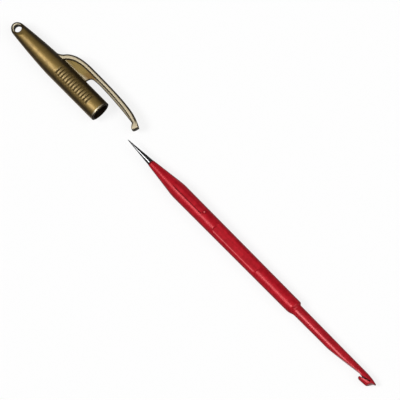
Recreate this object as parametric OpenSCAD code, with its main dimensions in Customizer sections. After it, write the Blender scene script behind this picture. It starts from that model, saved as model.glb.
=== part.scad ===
// Pocket scratch awl: a steel needle in a red moulded handle that ends in a hook,
// with a push-on cap that has a lanyard eye, grip grooves and a pocket clip.
// +X runs from the hook to the cap, +Z is the face with the panel, and the clip is
// on the -Y side. The cap is drawn pulled off, in line with the needle.

/* [Needle] */
// Length of bare steel ahead of the handle
point_len = 14; // [12:0.5:16]
// Diameter of the steel where it meets the nose
point_d = 2.75; // [2.2:0.05:2.8]
// Diameter of the needle's tip
tip_d = 0.3; // [0.1:0.05:0.5]
// Diameter of the tang inside the handle
tang_d = 2; // [1.6:0.1:2.2]
// Length of the tang inside the handle
tang_len = 26; // [20:1:40]

/* [Handle] */
// Length from the needle's tip to the hook's beak
tool_len = 150; // [146:1:170]
// Diameter of the nose where the steel comes out
nose_d = 2.95; // [2.9:0.05:3.2]
// Length of the tapered nose
nose_len = 16.6; // [15:0.1:17]
// Diameter of the barrel at the nose
barrel_d = 7.05; // [6.8:0.05:7.05]
// Diameter of the barrel at the shoulder
barrel_tail_d = 6.6; // [6.4:0.05:6.8]
// Length of the barrel
barrel_len = 70.6; // [62:0.2:72]
// Length of the shoulder between barrel and shank
shoulder_len = 3; // [1:0.2:4]
// Diameter of the shank at the shoulder
shank_d = 4.85; // [4.6:0.05:5.4]
// Diameter of the shank at the hook
shank_tail_d = 4.5; // [4.3:0.05:4.6]

/* [Hook] */
// Length of the slanted throat ahead of the barb
throat_len = 17.2; // [12:0.1:20]
// Length of the head from the barb's tip to the beak
head_len = 7.3; // [7:0.1:9]
// Radius of the barb's blunt tip
barb_r = 0.65; // [0.55:0.05:0.75]
// Width of the slot at the barb's tip
slot_w = 0.6; // [0.5:0.1:0.9]
// Length of the slot behind the barb
slot_len = 4.8; // [4:0.1:5]

/* [Cap seat and panel] */
// Distance from the needle's tip to the end of the cap's seat
seat_end = 45.8; // [42:0.1:46]
// Depth of the relief along the seat
relief_depth = 0.32; // [0.2:0.02:0.4]
// Diameter of the pip that stops the cap
pip_d = 1.1; // [0.8:0.1:1.4]
// Distance from the needle's tip to the panel
panel_start = 54; // [50:0.5:58]
// Length of the panel
panel_len = 26.4; // [20:0.2:30]
// Width of the panel
panel_w = 3.6; // [2.6:0.1:4]
// Depth of the panel at the middle of the face
panel_depth = 0.6; // [0.5:0.05:0.8]

/* [Cap] */
// Length of the cap
cap_len = 54; // [53:0.5:56]
// Outer diameter of the cap at its mouth
cap_d = 9.4; // [9.2:0.1:11]
// Diameter of the bore at the mouth
bore_d = 7.35; // [7.35:0.05:7.6]
// Straight length of the cap behind its mouth
straight_len = 28.5; // [27:0.5:30]
// Distance that the cap is drawn off ahead of the needle
cap_gap = 17; // [0:1:40]
// Diameter of the lanyard eye
eye_d = 3.2; // [2:0.1:3.4]
// Thickness of the flattened end round the eye
eye_t = 3.4; // [2.4:0.1:3.8]
// Distance from the eye's middle to the end of the cap
eye_inset = 3.4; // [3:0.1:3.6]
// Number of grip grooves on each face
groove_count = 13; // [6:1:14]
// Distance from one groove to the next
groove_pitch = 1.52; // [1.3:0.02:1.6]
// Depth of the grip grooves
groove_depth = 0.3; // [0.15:0.05:0.35]
// Angle that each groove runs round the cap
groove_span = 72; // [40:2:80]

/* [Clip] */
// Reach of the clip from the axis of the cap
clip_reach = 10.4; // [10:0.05:11]
// Width of the flange
clip_w = 4; // [3.4:0.1:4.6]
// Thickness of the flange
clip_t = 1.8; // [1.4:0.05:1.9]
// Width of the web and rib under the flange
web_w = 1.4; // [1:0.1:2]
// Distance that the toe reaches past the mouth
clip_past = 16.6; // [14:0.05:18]

/* [Hidden] */
$fn = 64;
curve_steps = 10;
beyond = 6;

point_r = point_d / 2;
tang_r = tang_d / 2;
tang_groove = 0.3;
nose_r = nose_d / 2;
nose_edge = 0.15;
barrel_r = barrel_d / 2;
barrel_tail_r = barrel_tail_d / 2;
shank_r = shank_d / 2;
shank_tail_r = shank_tail_d / 2;
barrel_start = point_len + nose_len;
shoulder_start = barrel_start + barrel_len;
shank_start = shoulder_start + shoulder_len;

barb_start = tool_len - head_len;
head_taper = tool_len - 7.2;
beak_r = 1.4;
beak_y = -1;
neck = [tool_len - 1.3, -0.45];
end_lean = 0.53;
barb_y = shank_tail_r - barb_r;
barb_top = barb_y - barb_r;
slot_end = [barb_start + slot_len, -0.5];
slot_end_r = 0.15;
throat_drop = 0.1;

relief_edge = 0.45;
relief_floor = barrel_r - relief_depth;
pip_turn = 18;
pip_rise = 0.35;
pip_start = seat_end + pip_d / 2;
panel_floor = barrel_r - 0.1 - panel_depth;

cap_r = cap_d / 2;
bore_r = bore_d / 2;
mouth_edge = 0.3;
taper_slope = 0.045;
taper_bow = 330;
dome_start = cap_len - 3.1;
nose_bore = [1.9, 31];
bore_end = 46.6;
seat_bore = 15;
eye_x = cap_len - eye_inset;
eye_run = eye_x - 6.2;
eye_flat = eye_x - 0.2;
eye_soft = 2.6;
groove_start = 6.2;
groove_w = 0.7;
key_start = 19.5;
key_end = 28;
key_depth = 0.8;

key_r = cap_r - key_depth;
clip_root = [29.7, key_r];
flange_heel = [27.6, key_r];
crest_x = 16;
dip = [-10, clip_reach - 1.2];
toe_outer = [-clip_past, 6.65];
toe_low = [1 - clip_past, 2.7];
toe_inner = [3.4 - clip_past, 6.05];
toe_round = 3;
rib_crest = [9, clip_reach - 2.85];
web_end = [14.1, key_r];

total_len = tool_len + cap_gap + cap_len;
tip_x = tool_len - total_len / 2;
mouth_x = tip_x + cap_gap;
axis_y = (clip_reach - cap_r) / 2;
axis_z = cap_r;

function unit(v) = v / norm(v);

// Points along a cubic curve with four control points
function curve(p) = [
    for (i = [0 : curve_steps])
        let (t = i / curve_steps, s = 1 - t)
            s * s * s * p[0] + 3 * s * s * t * p[1] + 3 * s * t * t * p[2] + t * t * t * p[3]
];

// A rounded corner at c between the lines to a and to b
function corner(a, c, b, size) = curve([
    c + unit(a - c) * size,
    c + unit(a - c) * size / 3,
    c + unit(b - c) * size / 3,
    c + unit(b - c) * size
]);

function reversed(list) = [for (i = [len(list) - 1 : -1 : 0]) list[i]];

// Radius of the cap's bowed taper at a distance from the mouth
function taper_r(x) =
    cap_r - taper_slope * (x - straight_len) - pow(x - straight_len, 2) / (2 * taper_bow);

// Children drawn from the needle's tip, or from the middle of the cap's mouth
module from_tip() {
    translate([tip_x, axis_y, axis_z]) children();
}

module from_mouth() {
    translate([mouth_x, axis_y, axis_z]) children();
}

// Turned about the axis from a profile of radius and distance, towards the hook or the cap
module turned_back() {
    rotate([0, -90, 0]) rotate_extrude() children();
}

module turned_ahead() {
    rotate([0, 90, 0]) rotate_extrude() children();
}

// Cut through the tool from a side view of distance behind the tip and height in Y
module through_tool() {
    mirror([1, 0, 0]) linear_extrude(2 * beyond, center = true) children();
}

// Raised from a side view of the clip, of distance ahead of the mouth and reach from the axis
module across_clip(width) {
    mirror([0, 1, 0]) linear_extrude(width, center = true) children();
}

module tang_solid() {
    turned_back() polygon([
        [0, point_len],
        [tang_r, point_len],
        for (ring = [1 : 3])
            let (at = point_len + ring * tang_len / 4)
                each [[tang_r, at - 1.2], [tang_r - tang_groove, at - 0.6],
                      [tang_r - tang_groove, at + 0.6], [tang_r, at + 1.2]],
        [tang_r, point_len + tang_len - tang_groove],
        [tang_r - tang_groove, point_len + tang_len],
        [0, point_len + tang_len]
    ]);
}

module awl_needle() {
    color([0.75, 0.76, 0.78]) from_tip() union() {
        turned_back() polygon([[0, 0], [tip_d / 2, tip_d / 2], [point_r, point_len], [0, point_len]]);
        tang_solid();
    }
}

module handle_blank() {
    nose_front = [nose_r, point_len + nose_edge];
    nose_back = [barrel_r, barrel_start];
    barrel_back = [barrel_tail_r, shoulder_start];
    turned_back() polygon(concat(
        [[0, point_len], [nose_r - nose_edge, point_len], nose_front],
        corner(nose_front, nose_back, barrel_back, 1.6),
        curve([
            barrel_back,
            [barrel_tail_r, shoulder_start + 0.6 * shoulder_len],
            [shank_r, shank_start - 0.6 * shoulder_len],
            [shank_r, shank_start]
        ]),
        curve([
            [shank_tail_r, head_taper],
            [shank_tail_r, head_taper + 2.4],
            [shank_tail_r - 0.2, tool_len - 2.1],
            [beak_r, tool_len]
        ]),
        [[0, tool_len]]
    ));
}

// The slanted throat and the slot that leaves the barb standing
module throat_outline() {
    difference() {
        union() {
            polygon([
                [barb_start - throat_len, beyond],
                [barb_start - throat_len, shank_tail_r + 0.02],
                [barb_start - 1, throat_drop],
                [barb_start + barb_r, barb_top - slot_w],
                slot_end + [0, -slot_end_r],
                slot_end + [0, slot_end_r],
                [barb_start + barb_r, barb_top],
                [barb_start + barb_r, beyond]
            ]);
            translate(slot_end) circle(slot_end_r);
        }
        translate([barb_start + barb_r, barb_y]) circle(barb_r);
    }
}

// What is cut away under the beak and along the slanted end of the barb
module head_end_outline() {
    polygon([
        [tool_len + 1, beak_y],
        [tool_len, beak_y],
        neck,
        neck + [-end_lean * (beyond - neck[1]), beyond - neck[1]],
        [tool_len + 1, beyond]
    ]);
}

module panel_outline() {
    end_r = panel_w / 2;
    translate([panel_start + end_r, -end_r]) square([panel_len - panel_w, panel_w]);
    translate([panel_start + end_r, 0]) circle(end_r);
    translate([panel_start + panel_len - end_r, 0]) circle(end_r);
}

module handle() {
    color([0.72, 0.1, 0.16]) from_tip() union() {
        difference() {
            handle_blank();
            tang_solid();
            through_tool() throat_outline();
            through_tool() head_end_outline();
            translate([-seat_end, relief_edge - beyond, relief_floor]) cube([nose_len + 2, beyond, beyond]);
            mirror([1, 0, 0]) translate([0, 0, panel_floor]) linear_extrude(beyond) panel_outline();
        }
        rotate([pip_turn, 0, 0]) translate([-pip_start, 0, barrel_r + pip_rise - pip_d / 2]) sphere(d = pip_d);
    }
}

module cap_blank() {
    taper = [
        for (i = [0 : curve_steps])
            let (x = straight_len + i * (dome_start - straight_len) / curve_steps)
                [taper_r(x), x]
    ];
    dome_r = taper_r(dome_start);
    turned_ahead() polygon(concat(
        [[0, 0], [cap_r - mouth_edge, 0], [cap_r, mouth_edge]],
        taper,
        curve([
            [dome_r, dome_start],
            [dome_r - 0.1, dome_start + 1.2],
            [0.6 * dome_r, cap_len],
            [0, cap_len]
        ])
    ));
}

module cap_bore() {
    turned_ahead() polygon([
        [0, -1],
        [bore_r + mouth_edge, -1],
        [bore_r + mouth_edge, 0],
        [bore_r, mouth_edge],
        [bore_r, seat_bore],
        nose_bore,
        [nose_bore[0], bore_end],
        [0, bore_end]
    ]);
}

// What is cut away over the flats of the eye, with a soft run-out into the taper
module eye_flat_outline() {
    run_top = [eye_run, taper_r(eye_run) + 0.1];
    run_low = [eye_flat, eye_t / 2];
    polygon(concat(
        [[eye_run, 2 * beyond]],
        curve([run_top, run_top + [eye_soft, -0.25], run_low - [eye_soft, 0], run_low]),
        [[cap_len + 1, eye_t / 2], [cap_len + 1, 2 * beyond]]
    ));
}

module grip_groove() {
    rotate([0, 90, 0]) rotate([0, 0, -groove_span / 2]) rotate_extrude(angle = groove_span) polygon([
        [cap_r + 0.2, -groove_w / 2],
        [cap_r + 0.2, groove_w / 2],
        [cap_r, groove_w / 2],
        [cap_r - groove_depth, groove_w / 5],
        [cap_r - groove_depth, -groove_w / 5],
        [cap_r, -groove_w / 2]
    ]);
}

module clip_key() {
    translate([key_start, -cap_r - key_depth, -web_w / 2])
        cube([key_end - key_start, 2 * key_depth, web_w]);
}

module cap_shell() {
    color([0.5, 0.4, 0.22]) from_mouth() difference() {
        cap_blank();
        cap_bore();
        clip_key();
        translate([eye_x, 0, -beyond]) cylinder(d = eye_d, h = 2 * beyond);
        for (side = [0, 180])
            rotate([side, 0, 0]) {
                rotate([90, 0, 0]) linear_extrude(2 * beyond, center = true) eye_flat_outline();
                for (i = [0 : groove_count - 1])
                    translate([groove_start + i * groove_pitch, 0, 0]) grip_groove();
            }
    }
}

// The clip's outer edge, from its root over the crest and down to the toe
function clip_outer() = concat(
    curve([
        clip_root,
        clip_root + [-1.4, 4.4],
        [crest_x + 7.6, clip_reach],
        [crest_x, clip_reach]
    ]),
    curve([
        [crest_x, clip_reach],
        [crest_x - 10.5, clip_reach],
        dip + [6.5, 1.15],
        dip
    ]),
    curve([dip, dip - [2.2, 0.42], toe_outer + [1.5, 0.95], toe_outer])
);

// The end face, the rounded toe and the slope back up to the flange
function clip_toe() = concat(
    corner(toe_outer, toe_low, toe_inner, toe_round),
    [toe_inner]
);

module flange_outline() {
    polygon(concat(
        clip_outer(),
        clip_toe(),
        reversed(concat(
            curve([
                flange_heel,
                flange_heel + [-1.6, 2.8],
                [crest_x + 6.5, clip_reach - clip_t],
                [crest_x, clip_reach - clip_t]
            ]),
            curve([
                [crest_x, clip_reach - clip_t],
                [crest_x - 10.5, clip_reach - clip_t],
                toe_inner + [7.8, 2.65],
                toe_inner + [0.4, 0.5]
            ])
        ))
    ));
}

// The web at the root and the rib that it becomes under the flange
module web_outline() {
    polygon(concat(
        clip_outer(),
        clip_toe(),
        reversed(curve([
            rib_crest,
            rib_crest + [-6, 0.05],
            toe_inner + [7, 0.9],
            toe_inner
        ])),
        corner(rib_crest, [13.2, clip_reach - 3.1], web_end, 1.6),
        [web_end, flange_heel]
    ));
}

module pocket_clip() {
    color([0.86, 0.8, 0.62]) from_mouth() difference() {
        union() {
            across_clip(clip_w) flange_outline();
            across_clip(web_w) web_outline();
        }
        difference() {
            cap_blank();
            clip_key();
        }
    }
}

awl_needle();
handle();
cap_shell();
pocket_clip();
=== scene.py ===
"""Dressed model of a pocket scratch awl: needle, red handle with a hook, and clip cap.

Lengths in the classes are millimetres. A place on the tool is given by its distance
behind the needle's tip, a place on the cap by its distance ahead of the cap's mouth, and
both by how far they stand from the common axis. Meshes are written in metres.
"""

import logging
import math
from collections import Counter
from collections.abc import Callable, Sequence
from dataclasses import dataclass, field
from enum import Enum
from functools import cached_property
from typing import Any

import bmesh
import bpy
import numpy as np
from mathutils import Matrix, Vector
from mathutils.geometry import delaunay_2d_cdt


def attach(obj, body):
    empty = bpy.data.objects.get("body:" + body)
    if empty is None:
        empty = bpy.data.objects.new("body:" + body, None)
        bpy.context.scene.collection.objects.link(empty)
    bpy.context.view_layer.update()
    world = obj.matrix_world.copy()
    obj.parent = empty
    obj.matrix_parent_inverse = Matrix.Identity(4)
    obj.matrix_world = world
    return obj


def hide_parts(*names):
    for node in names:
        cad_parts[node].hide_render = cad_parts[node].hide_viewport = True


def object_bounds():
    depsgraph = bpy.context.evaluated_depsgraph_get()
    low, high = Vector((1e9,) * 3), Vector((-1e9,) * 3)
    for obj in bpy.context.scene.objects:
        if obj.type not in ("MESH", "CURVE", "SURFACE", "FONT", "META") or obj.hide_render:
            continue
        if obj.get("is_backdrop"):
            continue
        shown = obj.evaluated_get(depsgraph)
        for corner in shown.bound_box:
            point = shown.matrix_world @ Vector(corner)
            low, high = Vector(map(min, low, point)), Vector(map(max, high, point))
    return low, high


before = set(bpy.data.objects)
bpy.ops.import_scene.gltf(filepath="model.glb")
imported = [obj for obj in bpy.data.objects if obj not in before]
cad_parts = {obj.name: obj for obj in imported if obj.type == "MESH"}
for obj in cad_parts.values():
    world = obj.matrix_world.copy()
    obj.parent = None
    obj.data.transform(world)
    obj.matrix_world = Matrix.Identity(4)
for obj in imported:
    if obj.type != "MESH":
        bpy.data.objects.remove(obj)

log = logging.getLogger("scratch_awl")

MM = 0.001
TIP_X = 39.5
MOUTH_X = 56.5
AXIS_Y = 2.85
AXIS_Z = 4.7

# Points closer than this are one place, and a form thinner than this has no wall
NEAR = 1e-4

# Points that are merged in a finished mesh, and edges that are too short to keep
MERGED = 0.002
SLIVER = 0.0005

# Share of its offset that a row beside a line has to keep from every line
CLEAR = 0.97

Point = Sequence[float]
Span = tuple[float, float]
Triple = tuple[float, float, float]
Colour = tuple[float, float, float, float]
Numbers = np.ndarray | float
Place = Callable[[Numbers, Numbers, Numbers], np.ndarray]


class Body(Enum):
    """The two bodies that the pieces ride on."""

    TOOL = "tool"
    CAP = "cap"


class Bends(Enum):
    """How a rounded edge is stepped, as shares of its radius in from the edge."""

    FINE = (0.02, 0.076, 0.169, 0.293, 0.441, 0.617, 0.805, 1.0)
    PLAIN = (0.049, 0.191, 0.412, 0.691, 1.0)


# Lines and outlines in the plane


def pairs(along: Numbers, across: Numbers) -> np.ndarray:
    """Points from their places along and across, one per row."""
    return np.stack(np.broadcast_arrays(along, across), axis=-1).reshape(-1, 2)


def cubic(a: Point, b: Point, c: Point, d: Point, steps: int = 14) -> np.ndarray:
    """Points along a cubic curve.

    Args:
        a, b, c, d: The four control points.
        steps: Number of steps along the curve.

    Returns:
        The points, one per row.
    """
    t = np.linspace(0, 1, steps + 1)[:, None]
    s = 1 - t
    ends = s**3 * np.array(a) + t**3 * np.array(d)
    return ends + 3 * s * s * t * np.array(b) + 3 * s * t * t * np.array(c)


def arc(middle: Point, radius: float, start: float, end: float, count: int) -> np.ndarray:
    """A number of points on a circle, from one angle to another in degrees."""
    turn = np.radians(np.linspace(start, end, count))
    return np.array(middle) + radius * pairs(np.cos(turn), np.sin(turn))


def rounded(before: Point, at: Point, after: Point, size: float, steps: int = 8) -> np.ndarray:
    """A rounded corner.

    Args:
        before, at, after: A point on the way in, the corner and a point on the way out.
        size: How far from the corner the rounding starts.
        steps: Number of steps round the corner.

    Returns:
        The points of the rounding.
    """
    corner = np.array(at, float)
    way_in = np.array(before, float) - corner
    way_out = np.array(after, float) - corner
    way_in = way_in / np.linalg.norm(way_in) * size
    way_out = way_out / np.linalg.norm(way_out) * size
    return cubic(corner + way_in, corner + way_in / 3, corner + way_out / 3, corner + way_out, steps)


def even(line: np.ndarray, step: float) -> np.ndarray:
    """The same line in even steps.

    Args:
        line: Points along the line.
        step: Longest step wanted.

    Returns:
        Points at even distances, with both ends kept.
    """
    lengths = np.linalg.norm(np.diff(line, axis=0), axis=1)
    run = np.concatenate([[0], np.cumsum(lengths)])
    count = max(2, int(math.ceil(run[-1] / step)) + 1)
    at = np.linspace(0, run[-1], count)
    return pairs(np.interp(at, run, line[:, 0]), np.interp(at, run, line[:, 1]))


def joined(*lines: np.ndarray | Sequence[Point]) -> np.ndarray:
    """Lines put end to end.

    Args:
        lines: The lines, each as points or as a list of places.

    Returns:
        The points of all lines, with points that fall together left out.
    """
    points = np.concatenate([np.asarray(line, float).reshape(-1, 2) for line in lines])
    apart = np.linalg.norm(np.diff(points, axis=0), axis=1) > NEAR
    return points[np.concatenate([[True], apart])]


def distance(points: np.ndarray, line: np.ndarray) -> np.ndarray:
    """Distance from points to a line.

    Args:
        points: Points, one per row.
        line: Points along the line.

    Returns:
        The distance of each point from the nearest place on the line.
    """
    nearest = np.full(len(points), 1e9)
    for start, end in zip(line[:-1], line[1:]):
        along = end - start
        share = np.clip((points - start) @ along / max(along @ along, 1e-12), 0, 1)
        off = np.linalg.norm(points - start - share[:, None] * along, axis=1)
        nearest = np.minimum(nearest, off)
    return nearest


def inside(points: np.ndarray, outline: np.ndarray) -> np.ndarray:
    """Which points lie inside a closed outline.

    Args:
        points: Points, one per row.
        outline: The outline's points, without its first one repeated.

    Returns:
        True for each point inside.
    """
    within = np.zeros(len(points), bool)
    for start, end in zip(outline, np.roll(outline, -1, axis=0)):
        if start[1] == end[1]:
            continue
        spans = (start[1] > points[:, 1]) != (end[1] > points[:, 1])
        cross = start[0] + (points[:, 1] - start[1]) * (end[0] - start[0]) / (end[1] - start[1])
        within ^= spans & (points[:, 0] < cross)
    return within


def beside(line: np.ndarray, step: float, offset: float) -> np.ndarray:
    """Points in two rows, one along each side of a line.

    Args:
        line: Points along the line.
        step: Step along the line.
        offset: Distance of the rows from the line.

    Returns:
        The points of both rows.
    """
    points = even(line, step)
    along = np.gradient(points, axis=0)
    along /= np.maximum(np.linalg.norm(along, axis=1, keepdims=True), 1e-9)
    across = pairs(-along[:, 1], along[:, 0])
    return np.concatenate([points + side * offset * across for side in (-1, 1)])


def ease(low: float, high: float, value: np.ndarray) -> np.ndarray:
    """A smooth rise from 0 at low to 1 at high; it falls where low is above high."""
    t = np.clip((value - low) / (high - low), 0, 1)
    return t * t * (3 - 2 * t)


def fallen(depth: np.ndarray, radius: float) -> np.ndarray:
    """How far a rounded edge has fallen, at a depth in from the edge."""
    t = np.clip(1 - depth / radius, 0, 1)
    return radius * (1 - np.sqrt(1 - t * t))


def lower(a: np.ndarray, b: np.ndarray, soft: Numbers) -> np.ndarray:
    """The lower of two heights, with a soft change from one to the other."""
    return 0.5 * (a + b - np.sqrt((a - b) ** 2 + soft))


def higher(a: np.ndarray, b: np.ndarray, soft: Numbers) -> np.ndarray:
    """The higher of two heights, with a soft change from one to the other."""
    return -lower(-a, -b, soft)


def half_round(radius: Numbers, across: np.ndarray) -> np.ndarray:
    """Half thickness of a round form at a distance across it."""
    return np.sqrt(np.maximum(radius**2 - across**2, 0))


def stations(*spans: Triple) -> np.ndarray:
    """Places along the axis, from spans of start, end and step."""
    places = [np.linspace(a, b, max(2, int(round((b - a) / step)) + 1)) for a, b, step in spans]
    return np.unique(np.round(np.concatenate(places), 4))


# Places in the shared frame


def on_tool(behind: Numbers, y: Numbers, z: Numbers) -> np.ndarray:
    """Points of the tool in the shared frame, in millimetres."""
    return np.stack([TIP_X - behind, AXIS_Y + y, AXIS_Z + z], axis=-1)


def on_cap(ahead: Numbers, y: Numbers, z: Numbers) -> np.ndarray:
    """Points of the cap in the shared frame, in millimetres."""
    return np.stack([MOUTH_X + ahead, AXIS_Y + y, AXIS_Z + z], axis=-1)


def on_clip(ahead: Numbers, out: Numbers, z: Numbers) -> np.ndarray:
    """Points of the clip, which stands out on the cap's -Y side."""
    return on_cap(ahead, -out, z)


def turned(line: np.ndarray, turns: np.ndarray, place: Place) -> np.ndarray:
    """Rings of points round the axis.

    Args:
        line: A row per ring: its place along the axis, then its radius, one for all angles
            or one for each.
        turns: Angles from +Z towards +Y in radians.
        place: Puts points in the shared frame.

    Returns:
        The points, by ring and by angle.
    """
    along, radius = line[:, :1], line[:, 1:]
    return place(along + 0 * turns, radius * np.sin(turns), radius * np.cos(turns))


# Meshes


def placed(name: str, data: bpy.types.ID) -> bpy.types.Object:
    """A new object in the scene, at the origin.

    Args:
        name: The object's name.
        data: The mesh, lamp or camera that it shows.

    Returns:
        The object.
    """
    made = bpy.data.objects.new(name, data)
    bpy.context.scene.collection.objects.link(made)
    return made


class Skin:
    """Gathers the points and faces of one piece, with named marks from 0 to 1 at the points."""

    def __init__(self, *names: str) -> None:
        """Starts with no points.

        Args:
            names: The names of the marks.
        """
        self.points: list[np.ndarray] = []
        self.marks: dict[str, list[np.ndarray]] = {name: [] for name in names}
        self.faces: list[tuple[int, ...]] = []
        self.count = 0

    def add(self, points: np.ndarray, **marks: Numbers) -> np.ndarray:
        """Adds points.

        Args:
            points: An array of points in millimetres, of any shape, with x, y and z last.
            marks: Marks by name, of each point or one for all; the rest are 0.

        Returns:
            The numbers of the new points, in the array's shape.
        """
        flat = points.reshape(-1, 3)
        self.points.append(flat)
        for name, kept in self.marks.items():
            kept.append(np.broadcast_to(marks.get(name, 0.0), points.shape[:-1]).reshape(-1))
        numbers = np.arange(self.count, self.count + len(flat)).reshape(points.shape[:-1])
        self.count += len(flat)
        return numbers

    def tube(self, rings: np.ndarray, **marks: Numbers) -> np.ndarray:
        """Adds rings of points and the faces between them.

        Args:
            rings: Points by ring and by place round the ring.
            marks: Marks by name, of each point or one for all.

        Returns:
            The numbers of the points.
        """
        numbers = self.add(rings, **marks)
        near, far = numbers[:-1], numbers[1:]
        quads = np.stack([near, np.roll(near, -1, 1), np.roll(far, -1, 1), far], axis=-1)
        self.faces.extend(map(tuple, quads.reshape(-1, 4).tolist()))
        return numbers

    def close(self, ring: np.ndarray, point: np.ndarray) -> None:
        """Closes a ring of points with a fan.

        Args:
            ring: The numbers of the ring's points.
            point: The point that the fan runs to.
        """
        pole = int(self.add(point.reshape(1, 3))[0])
        edges = zip(ring.tolist(), np.roll(ring, -1).tolist())
        self.faces.extend((a, b, pole) for a, b in edges)

    def piece(self, name: str, sharp: float = 38.0) -> bpy.types.Object:
        """Makes the piece, with its marks as attributes.

        Args:
            name: The piece's name.
            sharp: Angle in degrees above which an edge stays sharp.

        Returns:
            The new object, at the origin.
        """
        mesh = bpy.data.meshes.new(name)
        points = np.concatenate(self.points) * MM
        mesh.from_pydata(points.tolist(), [], self.faces)
        for mark, kept in self.marks.items():
            layer = mesh.attributes.new(mark, "FLOAT", "POINT")
            layer.data.foreach_set("value", np.concatenate(kept).astype(np.float32))
        work = bmesh.new()
        work.from_mesh(mesh)
        bmesh.ops.remove_doubles(work, verts=work.verts, dist=MERGED * MM)
        bmesh.ops.dissolve_degenerate(work, edges=work.edges, dist=SLIVER * MM)
        bmesh.ops.recalc_face_normals(work, faces=work.faces)
        work.to_mesh(mesh)
        work.free()
        mesh.shade_smooth()
        mesh.set_sharp_from_angle(angle=math.radians(sharp))
        return placed(name, mesh)


@dataclass
class Plate:
    """A form drawn in side view, with a half thickness at each point of the view.

    Attributes:
        outline: The closed outline.
        half: Gives the half thickness at points of the view.
        marks: Gives the named marks at points of the view.
        place: Puts points of the view, with their height, in the shared frame.
        seeds: Points inside the outline.
        hole: Outline of a hole, if there is one.
        open_at: Place along the axis where the form joins another and has no wall.
    """

    outline: np.ndarray
    half: Callable[[np.ndarray], np.ndarray]
    marks: Callable[[np.ndarray], dict[str, np.ndarray]]
    place: Place
    seeds: np.ndarray
    hole: np.ndarray | None = None
    open_at: float | None = None

    def triangles(self) -> tuple[np.ndarray, list[tuple[int, int, int]]]:
        """Fills the outline.

        Returns:
            The points of the view and the triangles between them.
        """
        loops = [self.outline] if self.hole is None else [self.outline, self.hole]
        edges: list[tuple[int, int]] = []
        for loop in loops:
            start = len(edges)
            edges += [(start + i, start + (i + 1) % len(loop)) for i in range(len(loop))]
        flat = [Vector(p) for p in np.concatenate([*loops, self.seeds]).tolist()]
        found, _, faces, *_ = delaunay_2d_cdt(flat, edges, [], 1, 1e-5)
        view = np.array([tuple(p) for p in found])
        middles = view[np.array(faces)].mean(axis=1)
        kept = inside(middles, self.outline)
        if self.hole is not None:
            kept &= ~inside(middles, self.hole)
        return view, [tuple(f) for f, keep in zip(faces, kept) if keep]

    def add_to(self, skin: Skin) -> None:
        """Adds both faces of the form and its walls.

        Args:
            skin: The skin that takes them.
        """
        view, faces = self.triangles()
        half = np.maximum(self.half(view), 0)
        marks = self.marks(view)
        along, across = view[:, 0], view[:, 1]
        front = skin.add(self.place(along, across, half), **marks).tolist()
        back = skin.add(self.place(along, across, -half), **marks).tolist()
        seen: Counter[tuple[int, int]] = Counter()
        for a, b, c in faces:
            skin.faces.append((front[a], front[b], front[c]))
            skin.faces.append((back[a], back[c], back[b]))
            seen.update((min(edge), max(edge)) for edge in ((a, b), (b, c), (c, a)))
        for (a, b), times in seen.items():
            joint = self.open_at is not None and np.allclose(along[[a, b]], self.open_at, atol=1e-3)
            if times == 1 and not joint and max(half[a], half[b]) > NEAR:
                skin.faces.append((front[a], front[b], back[b], back[a]))


# Node graphs


class Wire:
    """A node's output that can stand in sums."""

    def __init__(self, graph: "Graph", socket: bpy.types.NodeSocket) -> None:
        """Keeps the graph and the socket."""
        self.graph = graph
        self.socket = socket

    def __add__(self, other: "Value") -> "Wire":
        """This and another."""
        return self.graph.math("ADD", self, other)

    def __sub__(self, other: "Value") -> "Wire":
        """This less another."""
        return self.graph.math("SUBTRACT", self, other)

    def __rsub__(self, other: "Value") -> "Wire":
        """Another less this."""
        return self.graph.math("SUBTRACT", other, self)

    def __mul__(self, other: "Value") -> "Wire":
        """This times another."""
        return self.graph.math("MULTIPLY", self, other)

    def __truediv__(self, other: "Value") -> "Wire":
        """This over another."""
        return self.graph.math("DIVIDE", self, other)

    def __abs__(self) -> "Wire":
        """This without its sign."""
        return self.graph.math("ABSOLUTE", self)

    __radd__ = __add__
    __rmul__ = __mul__


Value = Wire | float | tuple


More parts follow.
